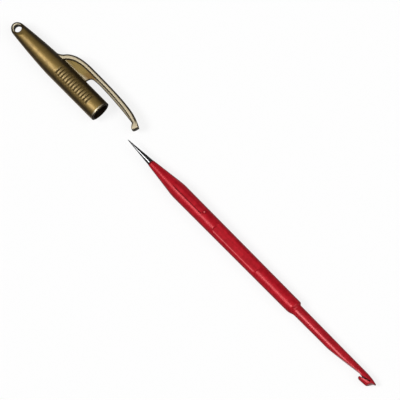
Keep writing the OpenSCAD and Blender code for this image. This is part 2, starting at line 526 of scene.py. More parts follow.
class Graph:
    """Adds nodes to a shader or geometry tree."""

    def __init__(self, tree: bpy.types.NodeTree) -> None:
        """Keeps the tree."""
        self.tree = tree

    def add(
        self,
        kind: str,
        settings: dict[str, Any] | None = None,
        sockets: dict[str | int, Any] | None = None,
        out: str | int = 0,
    ) -> Wire:
        """Adds a node.

        Args:
            kind: The node's type.
            settings: Its settings, set first.
            sockets: Values or links of its inputs, by name or by number.
            out: The output wanted, by name or by number.

        Returns:
            That output.
        """
        node = self.tree.nodes.new(kind)
        for name, value in (settings or {}).items():
            setattr(node, name, value)
        self.feed(node, sockets or {})
        return Wire(self, self.pick(node.outputs, out))

    def feed(self, node: bpy.types.Node, sockets: dict[str | int, Any]) -> None:
        """Links or sets inputs of a node.

        Args:
            node: The node.
            sockets: Values or links of its inputs, by name or by number.
        """
        for key, value in sockets.items():
            socket = self.pick(node.inputs, key)
            if isinstance(value, Wire):
                self.tree.links.new(value.socket, socket)
            else:
                socket.default_value = value

    @staticmethod
    def pick(sockets: Sequence[bpy.types.NodeSocket], key: str | int) -> bpy.types.NodeSocket:
        """The live socket with that name or number."""
        live = [s for s in sockets if s.enabled]
        return live[key] if isinstance(key, int) else next(s for s in live if s.name == key)

    def math(self, operation: str, *values: Value) -> Wire:
        """One sum on values."""
        return self.add("ShaderNodeMath", {"operation": operation}, dict(enumerate(values)))

    def most(self, *values: Value) -> Wire:
        """The largest of some values.

        Args:
            values: The values, at least two.

        Returns:
            The largest.
        """
        found, *others = values
        for other in others:
            found = self.math("MAXIMUM", found, other)
        return found

    def reach(self, across: Wire, up: Wire) -> Wire:
        """Distance from the axis of a place across it and up from it."""
        return self.math("SQRT", across * across + up * up)

    def step(self, value: Value, low: float, high: float) -> Wire:
        """A smooth rise of a value from 0 at low to 1 at high."""
        sockets = {"Value": value, "From Min": low, "From Max": high}
        return self.add("ShaderNodeMapRange", {"interpolation_type": "SMOOTHSTEP"}, sockets)

    def parts(self, place: Value) -> tuple[Wire, Wire, Wire]:
        """The three parts of a place."""
        outputs = self.add("ShaderNodeSeparateXYZ", None, {"Vector": place}).socket.node.outputs
        return Wire(self, outputs[0]), Wire(self, outputs[1]), Wire(self, outputs[2])


class Paint(Graph):
    """A material's nodes, with its shader and the places on the piece."""

    def __init__(self, material: bpy.types.Material) -> None:
        """Finds the material's shader."""
        super().__init__(material.node_tree)
        self.shader = self.tree.nodes["Principled BSDF"]

    @cached_property
    def place(self) -> Wire:
        """The place on the piece, in metres."""
        return self.add("ShaderNodeTexCoord", out="Object")

    def scaled(self, by: Triple, shift: Triple = (0, 0, 0)) -> Wire:
        """The place, scaled along the axes and then shifted."""
        sockets = {"Vector": self.place, "Location": shift, "Scale": by}
        return self.add("ShaderNodeMapping", None, sockets)

    def around(self, body: Body) -> tuple[Wire, Wire, Wire]:
        """The place as it stands on a body, in millimetres.

        Args:
            body: The body, which says from where its length counts, and which way.

        Returns:
            The distance behind the tip or ahead of the mouth, and the distances across the
            axis and up from it.
        """
        way, start = (-1, TIP_X) if body is Body.TOOL else (1, -MOUTH_X)
        by = (way / MM, 1 / MM, 1 / MM)
        return self.parts(self.scaled(by, (start, -AXIS_Y, -AXIS_Z)))

    def grain(
        self, scale: float, detail: float = 3.0, rough: float = 0.55, by: Triple | None = None
    ) -> Wire:
        """Noise from 0 to 1.

        Args:
            scale: How fine it is.
            detail: How many layers it has.
            rough: How much the finer layers count.
            by: Scales along the axes, where it is drawn out.

        Returns:
            The noise at the place.
        """
        place = self.scaled(by) if by else self.place
        sockets = {"Vector": place, "Scale": scale, "Detail": detail, "Roughness": rough}
        return self.add("ShaderNodeTexNoise", None, sockets)

    def blend(self, share: Value, first: Value, second: Value) -> Wire:
        """A colour between two, by a share."""
        settings = {"data_type": "RGBA", "clamp_factor": True}
        return self.add("ShaderNodeMix", settings, {"Factor": share, "A": first, "B": second})

    def mark(self, name: str) -> Wire:
        """A mark that the piece's points carry."""
        return self.add("ShaderNodeAttribute", {"attribute_name": name}, out="Fac")

    def bump(self, height: Value, depth: float, strength: float) -> Wire:
        """A normal from a height, for a depth in millimetres."""
        sockets = {"Height": height, "Distance": depth * MM, "Strength": strength}
        return self.add("ShaderNodeBump", None, sockets)


class Finish:
    """A material that is made once, from its own nodes."""

    name = "finish"

    @cached_property
    def material(self) -> bpy.types.Material:
        """The finish's material.

        Returns:
            The material, made on first use.
        """
        made = bpy.data.materials.new(self.name)
        made.use_nodes = True
        paint = Paint(made)
        paint.feed(paint.shader, self.inputs(paint))
        return made

    def inputs(self, paint: Paint) -> dict[str, Value]:
        """What goes into the shader; each finish has its own."""
        raise NotImplementedError


@dataclass(frozen=True)
class PolishedSteel(Finish):
    """Bright steel with fine grinding rings, with painted shade on its flanks and at its tip, and a
    duller root.

    The painted shade on the flanks is given by the share that lies to the side, the painted shade at
    the tip and the duller root by their distances behind the tip.
    """

    name: str = "polished_steel"
    bright: Colour = (0.22, 0.222, 0.226, 1)
    dull_and_shaded: Colour = (0.035, 0.035, 0.036, 1)
    grazing: Colour = (0.03, 0.03, 0.03, 1)
    # Spans of the painted shade on the flanks and at the tip, and of the duller root
    shaded_flank: Span = (0.3, 0.75)
    tip: Span = (7.5, 2.0)
    root: Span = (11.5, 13.9)

    def inputs(self, paint: Paint) -> dict[str, Value]:
        """Grinding rings across the point, with painted shade on the flanks and the tip, and a
        duller root.

        Args:
            paint: The material's nodes.

        Returns:
            What goes into the shader.
        """
        rings = paint.grain(9000, 4, 0.7, (1, 0.06, 0.06))
        cloud = paint.grain(900)
        behind, across, up = paint.around(Body.TOOL)
        root = paint.step(behind, *self.root)
        # Painted shade: the flanks and the tip are blended towards the dark colour, leaving a bright
        # band on top
        shaded_flank = paint.step(abs(across) / paint.reach(across, up), *self.shaded_flank)
        tip = paint.step(behind, *self.tip)
        dull_and_shaded = paint.most(root * 0.4 + cloud * 0.2, shaded_flank * 0.95, tip * 0.9)
        return {
            "Base Color": paint.blend(dull_and_shaded, self.bright, self.dull_and_shaded),
            "Metallic": 1.0,
            "Specular Tint": self.grazing,
            "Roughness": rings * 0.04 + cloud * 0.05 + 0.14,
            "Normal": paint.bump(rings, 0.001, 0.12),
        }


@dataclass(frozen=True)
class RedMoulding(Finish):
    """Semi-gloss red plastic with faint flow marks, scuffed along the cap's seat, with painted
    highlights and painted shade.

    The painted shade on the sides and the gloss are given by the share that lies to the side, the
    shank, the painted shade ring at the steel's root and the ends of the seat by their distances
    behind the tip.
    """

    name: str = "red_moulding"
    deep: Colour = (0.36, 0.004, 0.011, 1)
    clear: Colour = (0.56, 0.011, 0.023, 1)
    # Pink of the painted highlights on the pip, along the panel's edge, on the shoulder and on the
    # barb's crest
    rubbed: Colour = (0.95, 0.16, 0.17, 1)
    # Dark red of the painted shade
    shade_red: Colour = (0.055, 0.002, 0.004, 1)
    # Span of the painted shade along the sides
    side_shade: Span = (0.72, 1.0)
    glossy: Span = (0.8, 0.5)
    shank: Span = (101.0, 106.0)
    # Span of the painted shade ring at the steel's root
    ring: Span = (15.0, 14.2)
    seat_front: Span = (31.0, 29.0)
    seat_end: Span = (46.2, 45.4)

    def inputs(self, paint: Paint) -> dict[str, Value]:
        """Mottled red with painted highlights, painted shade at the steel's root, in the slot,
        crease and pip ring and along the sides, matt panel.

        Args:
            paint: The material's nodes.

        Returns:
            What goes into the shader.
        """
        mottle = paint.grain(520, 4)
        flow = paint.grain(800, by=(0.12, 1, 1))
        scuffs = paint.grain(6000, 2, by=(0.02, 1, 1))
        peel = paint.grain(1500, 2)
        behind, across, up = paint.around(Body.TOOL)
        side = abs(across) / paint.reach(across, up)
        shank = paint.step(behind, *self.shank)
        # Painted shade: a dark ring at the steel's root and darker sides, with the shade that the
        # slot mark lays in the slot, in the crease and round the pip
        ring = paint.step(behind, *self.ring)
        side_shade = paint.step(side, *self.side_shade)
        seat = paint.step(behind, *self.seat_end) - paint.step(behind, *self.seat_front)
        rub = paint.step(scuffs, 0.52, 0.72) * seat
        panel = paint.mark("panel")
        spark = paint.grain(5200, 2) * panel
        red = paint.blend(paint.step(mottle * 0.6 + flow * 0.4, 0.3, 0.72), self.deep, self.clear)
        # Painted highlights: the handle's highlight mark lightens the red towards pink
        red = paint.blend(paint.mark("rubbed") * 0.85, red, self.rubbed)
        dirt = paint.most(ring * 0.85, paint.mark("slot") * 0.85, side_shade * 0.52)
        gloss = 0.2 + mottle * 0.16 + shank * 0.3 - rub * 0.08
        return {
            "Base Color": paint.blend(dirt, red, self.shade_red),
            "Metallic": 0.14,
            "Roughness": 0.34 + mottle * 0.12 + rub * 0.12 + panel * 0.14 - shank * 0.04,
            "Specular IOR Level": 0.05,
            "Coat Weight": gloss * paint.step(side, *self.glossy) * (1 - dirt),
            "Coat Roughness": 0.34,
            "Normal": paint.bump(peel * 0.6 + spark * 0.7 - rub * 0.3, 0.02, 0.45),
        }


@dataclass(frozen=True)
class AntiqueBronze(Finish):
    """Bronze plating with patina in its grooves and bore, painted shade on its sides, and painted
    highlights on its end and ridges.

    The painted bright band leans a little to one side. The painted shade on the sides, the level
    round their middle below which it eases into a lighter painted sheen and the ridges' painted dark
    ends are shares of the way round, the rim line and the painted shade before the eye are distances
    ahead of the mouth.
    """

    name: str = "antique_bronze"
    bronze: Colour = (0.3, 0.197, 0.054, 1)
    bright: Colour = (0.74, 0.67, 0.5, 1)
    # Near black of the patina in the grooves and bore, and of the painted shade
    patina_and_shade: Colour = (0.01, 0.0055, 0.0022, 1)
    # Lean of the painted bright band, and spans of the painted shade on the sides, of the painted
    # sheen along their middle and of the ridges' painted dark ends
    lean: float = 0.08
    shaded: Span = (0.2, 0.78)
    level: Span = (0.0, 0.55)
    ridge_shade_ends: Span = (0.05, 0.5)
    rim_near: Span = (0.24, 0.4)
    rim_far: Span = (1.0, 0.7)
    # Span and drift of the painted shade before the eye
    eye_shade_span: Span = (40.0, 49.0)
    eye_shade_drift: float = 6.0

    def inputs(self, paint: Paint) -> dict[str, Value]:
        """Painted shade on the sides, easing into a lighter painted sheen along their middle; patina
        in the grooves and in the bore; a rim line of wear; painted highlights on the end and the
        ridge tops; painted shade at the ridges' ends and before the eye.

        Args:
            paint: The material's nodes.

        Returns:
            What goes into the shader.
        """
        cloud = paint.grain(420, 4)
        fine = paint.grain(2600, by=(0.35, 1, 1))
        drift = cloud - 0.5
        ahead, across, up = paint.around(Body.CAP)
        reach = paint.reach(across, up)
        # Painted shade: the sides darken away from a bright band that leans to one side, easing back
        # into a lighter painted sheen along their middle
        turn = abs(across / reach - self.lean)
        level = paint.step(abs(up) / reach + drift * 0.1, *self.level)
        side = paint.step(turn + drift * 0.2 + (fine - 0.5) * 0.12, *self.shaded)
        side = side * (0.4 + level * 0.6)
        rim = paint.step(ahead, *self.rim_far) * paint.step(ahead, *self.rim_near)
        # Painted highlights on the end and on the ridge tops near the faces; the rim line is wear
        end = paint.mark("worn")
        ridge = paint.mark("ridge")
        away = paint.step(turn, *self.ridge_shade_ends)
        worn = paint.most(rim * 0.8, end * 0.9, ridge * (1 - away) * 0.1)
        hollow = paint.most(paint.mark("groove") * 0.9, paint.mark("bore"))
        # Patina in the grooves and the bore, painted shade on the sides, on the ridges' ends and
        # before the eye, and a random mottle
        dark = paint.most(side * (1 - end) * 0.95, hollow)
        dark = dark + (1 - dark) * ridge * away * 0.4
        shade_near_eye = paint.step(ahead + drift * self.eye_shade_drift, *self.eye_shade_span) * (1 - end)
        dark = paint.most(dark, shade_near_eye * 0.2, paint.step(cloud, 0.5, 0.8) * 0.25)
        metal = paint.blend(worn, self.bronze, self.bright)
        return {
            "Base Color": paint.blend(dark, metal, self.patina_and_shade),
            "Metallic": 0.95 - dark * 0.95 - end * 0.6,
            "Roughness": 0.44 + cloud * 0.14 + fine * 0.08,
            "Specular IOR Level": 0.06,
            "Coat Weight": (1 - dark) * 0.54,
            "Coat Roughness": 0.42,
            "Normal": paint.bump(fine * 0.7 + cloud * 0.3, 0.02, 0.35),
        }


@dataclass(frozen=True)
class PaleGold(Finish):
    """Pale gold plating, browner on the web, with painted shade along its edges.

    The web turns warm between two distances ahead of the mouth, and the painted dark rim starts at a
    height above and below the axis.
    """

    name: str = "pale_gold"
    gold: Colour = (0.7, 0.6, 0.41, 1)
    brown: Colour = (0.34, 0.24, 0.08, 1)
    warm: Colour = (0.27, 0.165, 0.055, 1)
    # Near black of the painted shade
    dirt: Colour = (0.016, 0.01, 0.004, 1)
    warming: Span = (18.0, 14.5)
    # Height span from which the painted dark rim runs
    rim: Span = (0.5, 1.1)

    def inputs(self, paint: Paint) -> dict[str, Value]:
        """Pale flange with a soft cloud, brown web with grime streaks, and painted shade along the
        edges, on the rib, at the toe and in the inner corner.

        Args:
            paint: The material's nodes.

        Returns:
            What goes into the shader.
        """
        cloud = paint.grain(500, 4)
        fine = paint.grain(3200, by=(0.3, 1, 1))
        streak = paint.grain(1500, 2, by=(0.08, 1, 1))
        ahead, _, up = paint.around(Body.CAP)
        web = paint.mark("web")
        browned = paint.blend(paint.step(ahead, *self.warming), self.brown, self.warm)
        # Painted shade: a dark rim along the flange's outer edge and the shade that the clip's marks
        # lay along its edges, with a random cloud and grime streaks on the web
        rim = paint.mark("rim") * paint.step(abs(up), *self.rim)
        dirt = paint.most(
            paint.most(paint.mark("dirt"), rim) * 0.95,
            paint.step(cloud, 0.5, 0.8) * 0.16,
            paint.step(streak, 0.5, 0.7) * web * 0.4,
        )
        return {
            "Base Color": paint.blend(dirt, paint.blend(web, self.gold, browned), self.dirt),
            "Metallic": 0.4 - dirt * 0.4,
            "Roughness": 0.34 + cloud * 0.12 + dirt * 0.3,
            "Specular IOR Level": 0.14,
            "Normal": paint.bump(fine * 0.5 + cloud * 0.5, 0.015, 0.35),
        }


@dataclass(frozen=True)
class PaleFloor(Finish):
    """White matt board that throws little light back on the part."""

    name: str = "pale_floor"
    seen: Colour = (1, 1, 1, 1)
    thrown: Colour = (0.4, 0.4, 0.4, 1)
    plain: float = 0.82
    rays: tuple[str, ...] = ("Is Camera Ray", "Is Glossy Ray", "Is Transmission Ray")

    def inputs(self, paint: Paint) -> dict[str, Value]:
        """White for what is seen directly, in reflections and through glass, with soft shadows.

        Args:
            paint: The material's nodes.

        Returns:
            What goes into the shader.
        """
        path = paint.add("ShaderNodeLightPath").socket.node.outputs
        shown = paint.most(*(Wire(paint, path[ray]) for ray in self.rays))
        lit = Wire(paint, paint.shader.outputs[0])
        white = paint.add("ShaderNodeEmission", None, {"Color": self.seen, "Strength": 1.0})
        board = paint.add("ShaderNodeMixShader", None, {0: shown * self.plain, 1: lit, 2: white})
        paint.feed(paint.tree.nodes["Material Output"], {"Surface": board})
        return {
            "Base Color": paint.blend(shown, self.thrown, self.seen),
            "Roughness": 1.0,
            "Specular IOR Level": 0.0,
        }


# The pieces


class Piece:
    """What the pieces have in common."""

    finish: Finish

    def dress(self, piece: bpy.types.Object) -> None:
        """Gives the piece its finish."""
        piece.data.materials.append(self.finish.material)


@dataclass
class AwlNeedle(Piece):
    """The steel needle: a ground point, and the grooved tang inside the handle."""

    finish: PolishedSteel = field(default_factory=PolishedSteel)
    tip_r: float = 0.15
    fine_end: float = 2.0
    root: float = 14.0
    root_r: float = 1.375
    root_edge: float = 0.08
    root_bend: Span = (0.02, 0.03)
    tang_r: float = 1.0
    tang_len: float = 26.0
    tang_rings: int = 3
    tang_groove: float = 0.3
    groove_top: float = 1.2
    groove_floor: float = 0.6
    columns: int = 72

    def tang(self) -> np.ndarray:
        """The tang's profile.

        Returns:
            Distance and radius along the tang, from the root to its end.
        """
        high, low = self.tang_r, self.tang_r - self.tang_groove
        top, floor = self.groove_top, self.groove_floor
        places = [(self.root, high)]
        for ring in range(1, self.tang_rings + 1):
            at = self.root + ring * self.tang_len / (self.tang_rings + 1)
            places += [(at - top, high), (at - floor, low), (at + floor, low), (at + top, high)]
        end = self.root + self.tang_len
        return np.array([*places, (end - self.tang_groove, high), (end, low)])

    def build(self) -> bpy.types.Object:
        """The needle's mesh.

        Returns:
            The new piece.
        """
        slope = (self.root_r - self.tip_r) / (self.root - self.tip_r)
        tip = arc((self.tip_r, 0), self.tip_r, 172, 95, 8)
        last = self.root - self.root_edge
        cone = stations((self.tip_r, self.fine_end, 0.2), (self.fine_end, last, 0.6))
        cone = pairs(cone, self.tip_r + (cone - self.tip_r) * slope)
        bend = (self.root - self.root_bend[0], self.root_r - self.root_bend[1])
        line = joined(tip, cone, [bend, (self.root, self.root_r - self.root_edge)], self.tang())
        angles = np.linspace(0, 2 * np.pi, self.columns, endpoint=False)
        skin = Skin()
        numbers = skin.tube(turned(line, angles, on_tool))
        skin.close(numbers[0], on_tool(0.0, 0.0, 0.0))
        skin.close(numbers[-1], on_tool(line[-1, 0], 0.0, 0.0))
        return skin.piece("steel_needle")


@dataclass
class Handle(Piece):
    """The red moulding: nose, barrel with seat and panel, shoulder, shank and hook.

    Spots on the barrel are given by their place and their angle, points of the hook by
    their place and how far they stand above the axis in side view. The spans are those
    over which a step, a slope or a mark eases in. The rows are spans with their steps, and
    the clearances are how far the mesh's inner points stay from the hook's edges.
    """

    needle: AwlNeedle
    finish: RedMoulding = field(default_factory=RedMoulding)
    front: float = 14.0
    nose_r: float = 1.475
    nose_edge: float = 0.15
    barrel_start: float = 30.6
    barrel_r: float = 3.525
    barrel_round: float = 1.6
    shoulder_start: float = 101.2
    barrel_tail_r: float = 3.3
    shank_start: float = 104.2
    shoulder_pull: float = 0.6
    shoulder_plain: float = 0.82
    shoulder_skew: float = 0.3
    shoulder_drawn: float = 0.8
    shoulder_span: Span = (4.5, 2.5)
    shank_r: float = 2.425
    head_taper: float = 142.8
    head_pull: Span = (2.4, 2.1)
    head_fall: float = 0.2
    shank_tail_r: float = 2.25
    length: float = 150.0
    beak_r: float = 1.4
    face_limit: float = 0.1
    seat_end: float = 45.8
    seat_soft: float = 0.06
    relief_edge: float = 0.45
    relief_soft: float = 0.05
    relief_floor: float = 3.205
    # Place and span of the painted shade in the crease along the relief's wall
    crease_in: float = 0.1
    crease_span: Span = (0.3, 0.04)
    pip: Span = (46.35, -18.0)
    pip_r: float = 0.55
    pip_rise: float = 0.35
    pip_soft: float = 0.0016
    # Spans of the painted shadow ring round the pip and of the painted highlight on it, and the
    # painted highlight spots on the shoulder
    pip_shade: Span = (0.3, 0.0)
    pip_glint: Span = (0.5, 0.2)
    shoulder_glints: tuple[Span, ...] = ((101.4, 14.0), (103.1, 13.0))
    glint_span: Span = (0.6, 0.1)
    panel_ends: Span = (54.0, 80.4)
    panel_half: float = 2.2
    panel_corners: Span = (1.2, 1.8)
    panel_floor: float = 2.87
    panel_slope: Span = (0.04, -0.22)
    panel_soft: float = 0.03
    # Place and span of the painted highlight line along the panel's edge
    panel_glint: float = 1.98
    panel_glint_span: Span = (0.38, 0.08)
    seam: float = 0.02
    seam_width: float = 1.1
    joint: float = 124.5
    throat_start: float = 125.5
    throat_low: Span = (141.7, 0.1)
    barb_start: float = 142.7
    barb_r: float = 0.65
    barb_y: float = 1.6
    barb_crest: tuple[Span, ...] = ((144.3, 1.1), (147.2, 0.2))
    slot_w: float = 0.46
    slot_end: Span = (147.5, -0.5)
    slot_end_r: float = 0.12
    beak_y: float = -1.0
    neck: Span = (148.7, -0.45)
    end_lean: float = 0.53
    throat_round: float = 0.55
    slot_round: float = 0.2
    end_round: float = 0.24
    sill_bend: float = 0.5
    throat_bend: float = 0.9
    lip_bend: float = 0.16
    neck_bend: float = 0.35
    # Spans of the painted shade in the slot, on the slanted end and on the beak, and of the painted
    # highlight on the barb's crest
    slot_shade: Span = (0.34, 0.05)
    slot_shade_top: Span = (2.4, 1.3)
    end_shade: Span = (0.36, 0.08)
    beak_shade: Span = (1.0, 0.25)
    crest_glint: Span = (0.5, 0.1)
    slot_step: float = 0.08
    throat_step: float = 0.12
    end_step: float = 0.07
    row_step: float = 0.14
    grid_clear: float = 0.06
    skin_clear: float = 0.04
    rows: tuple[Triple, ...] = (
        (14.0, 14.15, 0.05),
        (14.15, 28.0, 0.7),
        (28.0, 32.4, 0.16),
        (32.4, 45.2, 0.9),
        (45.2, 47.2, 0.06),
        (47.2, 53.6, 0.9),
        (53.6, 56.0, 0.08),
        (56.0, 78.4, 1.0),
        (78.4, 80.8, 0.08),
        (80.8, 98.0, 1.2),
        (98.0, 100.8, 0.4),
        (100.8, 104.8, 0.12),
        (104.8, 107.4, 0.4),
        (107.4, 124.5, 1.0),
    )
    hook_rows: tuple[Triple, ...] = ((124.5, 140.0, 0.5), (140.0, 149.6, 0.16), (149.6, 150.0, 0.1))

    def __post_init__(self) -> None:
        """Works out the turned profile once."""
        front = (self.front + self.nose_edge, self.nose_r)
        nose = (self.barrel_start, self.barrel_r)
        tail = (self.shoulder_start, self.barrel_tail_r)
        shank = (self.shank_start, self.shank_r)
        reach = self.shoulder_pull * (self.shank_start - self.shoulder_start)
        self.profile = joined(
            [(self.front, self.nose_r - self.nose_edge), front],
            rounded(front, nose, tail, self.barrel_round),
            cubic(tail, (tail[0] + reach, tail[1]), (shank[0] - reach, shank[1]), shank),
            cubic(
                (self.head_taper, self.shank_tail_r),
                (self.head_taper + self.head_pull[0], self.shank_tail_r),
                (self.length - self.head_pull[1], self.shank_tail_r - self.head_fall),
                (self.length, self.beak_r),
            ),
        )

    def radius(self, behind: Numbers) -> np.ndarray:
        """Radius of the turned blank."""
        return np.interp(behind, self.profile[:, 0], self.profile[:, 1])

    def slanted(self, behind: np.ndarray, turn: np.ndarray) -> np.ndarray:
        """Places on the profile, with the shoulder drawn out on the barb's side.

        Args:
            behind: Distances behind the tip, as a column.
            turn: Angles from +Z towards +Y in radians, as a row.

        Returns:
            The distance at which the profile is read, for each place.
        """
        off = behind - (self.shoulder_start + self.shank_start) / 2
        side = np.sin(turn)
        drawn = self.shoulder_drawn * np.maximum(side, 0) ** 2
        drawn = off / (self.shoulder_plain + self.shoulder_skew * side + drawn)
        return behind + (drawn - off) * ease(*self.shoulder_span, np.abs(off))

    def angles(self) -> np.ndarray:
        """The angles at which the barrel's front half has points.

        Returns:
            Degrees from +Z towards +Y, closer at the relief, the panel and the seam.
        """
        fine = np.arange(-36, 42.1, 1.5)
        coarse = np.arange(45, 90.1, 4.5)
        relief = np.arange(6.2, 9.1, 0.4)
        panel = np.arange(27.2, 39.9, 0.5)
        seam = np.array([85, 87, 88.2, 89.1])
        every = [-seam, -coarse, -panel, fine, relief, panel, coarse, seam]
        found = np.unique(np.concatenate(every))
        return found[np.concatenate([[True], np.diff(found) > 0.15])]

    def off_panel(self, behind: np.ndarray, across: np.ndarray) -> np.ndarray:
        """Distance from the panel's outline.

        Args:
            behind: Distances behind the tip, as a column.
            across: Distances across the barrel.

        Returns:
            The distance of each place outside the outline, below 0 inside it.
        """
        start, end = self.panel_ends
        middle = (start + end) / 2
        corner = np.where(behind < middle, *self.panel_corners)
        past = np.abs(behind - middle) - (end - start) / 2 + corner
        wide = np.abs(across) - self.panel_half + corner
        outer = np.hypot(np.maximum(past, 0), np.maximum(wide, 0))
        return outer + np.minimum(np.maximum(past, wide), 0) - corner

    def surface(
        self, behind: np.ndarray, turn: np.ndarray
    ) -> tuple[np.ndarray, dict[str, np.ndarray]]:
        """The moulded surface ahead of the hook.

        Args:
            behind: Distances behind the tip, as a column.
            turn: Angles from +Z towards +Y in radians, as a row.

        Returns:
            The radius at each place, and the marks there: the panel, the painted shade in the crease
            and round the pip, and the painted highlights on the pip, along the panel's edge and on
            the shoulder.
        """
        blank = self.radius(self.slanted(behind, turn))
        across = blank * np.sin(turn)
        face = np.cos(turn) > self.face_limit
        facing = np.maximum(np.cos(turn), self.face_limit)
        in_seat = ease(self.seat_end + self.seat_soft, self.seat_end - self.seat_soft, behind)
        deep = np.maximum(blank - self.relief_floor / facing, 0) * in_seat
        edge, soft = self.relief_edge, self.relief_soft
        relief = deep * ease(edge + soft, edge - soft, across) * face
        off = self.off_panel(behind, across)
        panel = ease(*self.panel_slope, off) * face
        flat = lower(blank, self.panel_floor / facing, self.panel_soft)
        found = blank - np.maximum(relief, np.maximum(blank - flat, 0) * panel)

        def gap(spot: Span) -> np.ndarray:
            """Distance over the surface from a spot."""
            return np.hypot(behind - spot[0], blank * (turn - math.radians(spot[1])))

        off_pip = gap(self.pip)
        crown = self.barrel_r + self.pip_rise - self.pip_r + half_round(self.pip_r, off_pip)
        pip = higher(found, crown, self.pip_soft) - math.sqrt(self.pip_soft) / 2
        found = np.where(off_pip < self.pip_r, np.maximum(found, pip), found)
        side = np.degrees(np.arctan2(np.abs(np.cos(turn)), np.abs(np.sin(turn))))
        seam = self.seam * np.exp(-((side / self.seam_width) ** 2))
        seam = seam * ease(self.front, self.front + 2, behind)
        # Painted shade: a dark crease along the relief's wall and a dark ring round the pip
        crease = ease(*self.crease_span, np.abs(across - edge + self.crease_in)) * ease(0, 0.1, deep)
        pip_shadow = ease(*self.pip_shade, np.abs(off_pip - self.pip_r - 0.1)) * 0.6
        # Painted highlights: a line along the panel's edge on one side, a spot on the pip and two
        # spots on the shoulder
        panel_glint = ease(*self.panel_glint_span, np.abs(across - self.panel_glint)) * ease(0.3, -0.3, off) * face
        rubbed = np.maximum(ease(*self.pip_glint, off_pip), panel_glint * 0.35)
        for spot in self.shoulder_glints:
            rubbed = np.maximum(rubbed, ease(*self.glint_span, gap(spot)) * 0.45)
        dirt = np.maximum(crease, pip_shadow) * face
        return found + seam, {"panel": panel, "slot": dirt, "rubbed": rubbed}

    def hook_lines(self) -> tuple[np.ndarray, np.ndarray, np.ndarray]:
        """The lines that the slot, the throat and the slanted end cut in side view.

        Returns:
            The line from the barb's top round the slot, the line from there to the throat's
            start, and the line from the beak up the slanted end.
        """
        low_x, low_y = self.throat_low
        fall = (self.shank_tail_r + 0.02 - low_y) / (low_x - self.throat_start)
        start = self.throat_start
        for _ in range(8):
            start = low_x - (float(self.radius(start)) - low_y) / fall
        begin = (start, float(self.radius(start)))
        barb_x = self.barb_start + self.barb_r
        barb = arc((barb_x, self.barb_y), self.barb_r, 86, 262, 26)
        slot_top = np.array(self.slot_end) + (0, self.slot_end_r)
        slot_low = np.array(self.slot_end) - (0, self.slot_end_r)
        slot = arc(self.slot_end, self.slot_end_r, 80, -80, 9)
        sill = (barb_x, self.barb_y - self.barb_r - self.slot_w)
        brow = rounded(slot_low, sill, self.throat_low, self.sill_bend)
        slot = joined(barb, [slot_top], slot, [slot_low], brow)
        low = rounded(sill, self.throat_low, begin, self.throat_bend)
        throat = joined(slot[-1:], low, [begin])
        neck_x, neck_y = self.neck
        top = self.barb_y
        for _ in range(12):
            top = float(self.radius(neck_x - self.end_lean * (top - neck_y)))
        crown = (neck_x - self.end_lean * (top - neck_y), top)
        chin = (self.length, -self.beak_r)
        beak = (self.length, self.beak_y)
        lip = rounded(chin, beak, self.neck, self.lip_bend)
        neck = rounded(beak, self.neck, crown, self.neck_bend)
        return slot, throat, joined([chin], lip, neck, [crown])

    def hook(self, turns: np.ndarray) -> Plate:
        """The hook, from the joint to the beak.

        Args:
            turns: Angles of the front half, in radians.

        Returns:
            The hook as a form drawn in side view.
        """
        slot, throat, end = self.hook_lines()
        slot = even(slot, self.slot_step)
        throat = even(throat, self.throat_step)
        end = even(end, self.end_step)
        crest = even(np.array(self.barb_crest), 0.1)
        beak = np.array([(self.length, -self.beak_r), (self.length, self.beak_y)])
        cuts = [(slot, self.slot_round), (throat, self.throat_round), (end, self.end_round)]
        rows = stations(*self.hook_rows)
        radii = self.radius(rows)
        top = pairs(rows, radii)[::-1]
        over = top[(top[:, 0] > slot[0, 0] + 0.1) & (top[:, 0] < end[-1, 0] - 0.1)]
        back = top[top[:, 0] < throat[-1, 0] - 0.1]
        mouth = pairs(self.joint, self.radius(self.joint) * np.sin(turns))[::-1]
        outline = joined(pairs(rows, -radii), end, over, slot, throat, back, mouth[1:-1])
        grid = pairs(rows[1:, None], radii[1:, None] * np.sin(turns[1:-1:2]))
        clear = np.min([distance(grid, line) - edge for line, edge in cuts], axis=0)
        seeds = [grid[inside(grid, outline) & (clear > self.grid_clear)]]
        for line, edge in cuts:
            for share in Bends.PLAIN.value:
                row = beside(line, self.row_step, edge * share)
                clear = np.min([distance(row, other) for other, _ in cuts], axis=0)
                rest = self.radius(row[:, 0]) - np.abs(row[:, 1])
                kept = (clear > edge * share * CLEAR) & (rest > self.skin_clear)
                seeds.append(row[inside(row, outline) & kept])

        def half(view: np.ndarray) -> np.ndarray:
            """Half thickness of the hook with its edges rounded."""
            lost = [fallen(distance(view, line), edge) for line, edge in cuts]
            return half_round(self.radius(view[:, 0]), view[:, 1]) - np.max(lost, axis=0)

        def marks(view: np.ndarray) -> dict[str, np.ndarray]:
            """Where shade and a highlight are painted on the hook.

            Args:
                view: Points in side view.

            Returns:
                Painted shade in the slot, on the slanted end and on the beak, and the painted
                highlight on the barb's crest.
            """
            # Painted shade in the slot, on the slanted end and on the beak; painted highlight along
            # the barb's crest
            in_slot = ease(*self.slot_shade, distance(view, slot))
            in_slot = in_slot * ease(*self.slot_shade_top, view[:, 1])
            on_end = ease(*self.end_shade, distance(view, end)) * 0.5
            on_beak = ease(*self.beak_shade, distance(view, beak)) * 0.8
            dirt = np.max([in_slot, on_end, on_beak], axis=0)
            return {"slot": dirt, "rubbed": ease(*self.crest_glint, distance(view, crest)) * 0.5}

        return Plate(outline, half, marks, on_tool, np.concatenate(seeds), open_at=self.joint)

